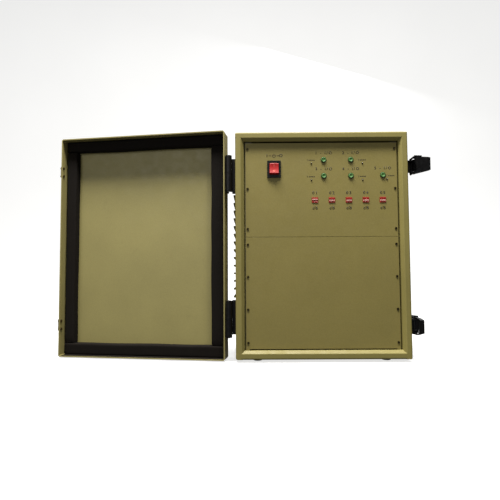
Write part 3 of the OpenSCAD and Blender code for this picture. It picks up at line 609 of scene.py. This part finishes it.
def loose_centres(node):
    """The middle of each separate solid in a CAD node, as (x, z) from left to right."""
    bm = bmesh.new()
    bm.from_mesh(frame["nodes"][node].data)
    bmesh.ops.remove_doubles(bm, verts=bm.verts, dist=0.000002)
    left, centres = set(bm.verts), []
    while left:
        stack, island = [left.pop()], []
        while stack:
            v = stack.pop()
            island.append(v.co.copy())
            for e in v.link_edges:
                other = e.other_vert(v)
                if other in left:
                    left.remove(other)
                    stack.append(other)
        xs, zs = [p.x for p in island], [p.z for p in island]
        centres.append(((min(xs) + max(xs)) / 2, (min(zs) + max(zs)) / 2))
    bm.free()
    return sorted(centres)


def lamp_centres():
    return loose_centres("alarm_lamps")


def button_centre(number):
    low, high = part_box(f"button_cap_{number}")
    return (low.x + high.x) / 2, (low.z + high.z) / 2


# ---------- printed marks ----------

INK_LIFT = 0.06 * MM
# Height of a numeral, and how far each stroke is thickened, as shares of the typeface's size
NUMERAL_HEIGHT = 0.70
LETTER_WEIGHT = 0.03
# The alarm lamps are counted from left to right; the last one has its mark to its right
ALARM_BY_BUTTON_5 = 5


class Print:
    """Flat marks printed on a face that looks towards -Y. Sizes are in millimetres."""

    def __init__(self, face_y):
        self.bm = bmesh.new()
        self.y = face_y - INK_LIFT

    def shape(self, points, x, z):
        verts = [self.bm.verts.new((x + u * MM, self.y, z + v * MM)) for u, v in points]
        self.bm.faces.new(verts)

    def bar(self, x, z, width, height):
        w, h = width / 2, height / 2
        self.shape([(-w, -h), (w, -h), (w, h), (-w, h)], x, z)

    def ring(self, x, z, r, line, start=0, end=360):
        steps = 28
        for i in range(steps):
            a = math.radians(start + (end - start) * i / steps)
            b = math.radians(start + (end - start) * (i + 1) / steps)
            corners = [(r * math.sin(a), r * math.cos(a)), (r * math.sin(b), r * math.cos(b)),
                       ((r - line) * math.sin(b), (r - line) * math.cos(b)),
                       ((r - line) * math.sin(a), (r - line) * math.cos(a))]
            self.shape(corners, x, z)

    def letters(self, text, x, z, height, spacing=1.0):
        """Plain numerals and unit letters in Blender's own typeface, centred on x and z."""
        curve = bpy.data.curves.new("mark", "FONT")
        curve.body = text
        curve.size = height * MM / NUMERAL_HEIGHT
        curve.offset = LETTER_WEIGHT * curve.size
        curve.space_character = spacing
        curve.align_x = "CENTER"
        curve.align_y = "CENTER"
        curve.resolution_u = 3
        holder = bpy.data.objects.new("mark", curve)
        bpy.context.scene.collection.objects.link(holder)
        mesh = bpy.data.meshes.new_from_object(holder.evaluated_get(bpy.context.evaluated_depsgraph_get()))
        mesh.transform(Matrix.Translation((x, self.y, z)) @ Matrix.Rotation(math.radians(90), 4, "X"))
        self.bm.from_mesh(mesh)
        bpy.data.objects.remove(holder)
        bpy.data.curves.remove(curve)
        bpy.data.meshes.remove(mesh)

    def piece(self, name, material, body, slot):
        bmesh.ops.recalc_face_normals(self.bm, faces=self.bm.faces)
        for f in self.bm.faces:
            if f.normal.y > 0:
                f.normal_flip()
        grown = bmesh.ops.extrude_face_region(self.bm, geom=list(self.bm.faces))
        moved = [v for v in grown["geom"] if isinstance(v, bmesh.types.BMVert)]
        bmesh.ops.translate(self.bm, verts=moved, vec=(0, INK_LIFT * 0.8, 0))
        bmesh.ops.recalc_face_normals(self.bm, faces=self.bm.faces)
        obj = mesh_object(name, self.bm, material)
        return finish_piece(obj, body, slot)


def make_panel_print():
    """Generic marks: the power symbol, numbers with on and off strokes, alarm marks and decibel marks."""
    ink = paint("panel_ink", srgb(50, 43, 22), 0.6, grain_mm=0.4, grain_depth=0.01)
    marks = Print(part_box("upper_panel")[0].y)
    low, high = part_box("rocker_housing")
    x, z = (low.x + high.x) / 2, high.z + 9.5 * MM
    marks.ring(x, z - 0.3 * MM, 3.3, 1.2, 35, 325)
    marks.bar(x, z + 1.6 * MM, 1.2, 3.6)
    for side, text in ((-1, "I"), (1, "O")):
        marks.letters(text, x + side * 13 * MM, z, 5.8)
        marks.bar(x + side * 7.4 * MM, z, 4.6, 1.2)
    for number in range(1, 6):
        x, z = button_centre(number)
        marks.letters(f"{number} - I/O", x, z + 13 * MM, 5.2, spacing=1.5)
    for number, (x, z) in enumerate(lamp_centres(), start=1):
        mark_z = z + 6.4 * MM
        first = x if number == ALARM_BY_BUTTON_5 else x - 7.5 * MM
        marks.letters("!", first, mark_z, 3.8)
        for k in range(4):
            marks.bar(first + (3.6 + k * 3) * MM, mark_z, 2.3, 1.7)
    for number, (x, z) in enumerate(loose_centres("dip_housings"), start=1):
        marks.letters(f"0{number}", x, z + 13.2 * MM, 5.6, spacing=1.45)
        marks.letters("dB", x, z - 15.2 * MM, 5.6, spacing=1.35)
    marks.piece("panel_print", ink, "cabinet", "panel_paint")


def make_dip_print():
    """Pole numbers under the sliders of each switch."""
    ink = plastic("dip_ink", srgb(226, 214, 204), 0.5)
    marks = Print(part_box("dip_housings")[0].y)
    for d, (_, z_mid) in enumerate(loose_centres("dip_housings"), start=1):
        for p in range(1, 5):
            low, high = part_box(f"dip_slider_{d}_{p}")
            marks.letters(str(p), (low.x + high.x) / 2, z_mid - 3.5 * MM, 1.1)
    marks.piece("dip_print", ink, "cabinet", "slider_white")


# The rocker key's face is a shallow V, in millimetres: its middle in front of the pivot, how much further
# its ends come forwards, and half its height
KEY_MIDDLE = -5.4
KEY_RISE = -2.0
KEY_HALF = 8.8


def make_rocker_print():
    """The on and off strokes moulded into the rocker key."""
    ink = plastic("rocker_ink", srgb(226, 120, 104), 0.35)
    joint = JOINTS["rocker_tilt"]
    pivot = Vector(joint["pos_m"])
    tilt = math.radians(joint["range_deg"][1] / 2)
    marks = Print(0)
    marks.bar(0, 5 * MM, 0.9, 4)
    marks.ring(0, -5 * MM, 2, 0.8)
    for v in marks.bm.verts:
        front = KEY_MIDDLE + KEY_RISE * (abs(v.co.z) / MM) / KEY_HALF
        v.co.y = (front - 0.05) * MM
    marks.bm.transform(Matrix.Translation(pivot) @ Matrix.Rotation(-tilt, 4, "X"))
    marks.piece("rocker_print", ink, "rocker", "rocker_red")


make_camera()
make_lights()
make_backdrop(floor_material())
form_nodes()
make_gasket()
for button in range(1, 6):
    make_button(button)
make_lamp_lenses()
make_panel_print()
make_dip_print()
make_rocker_print()
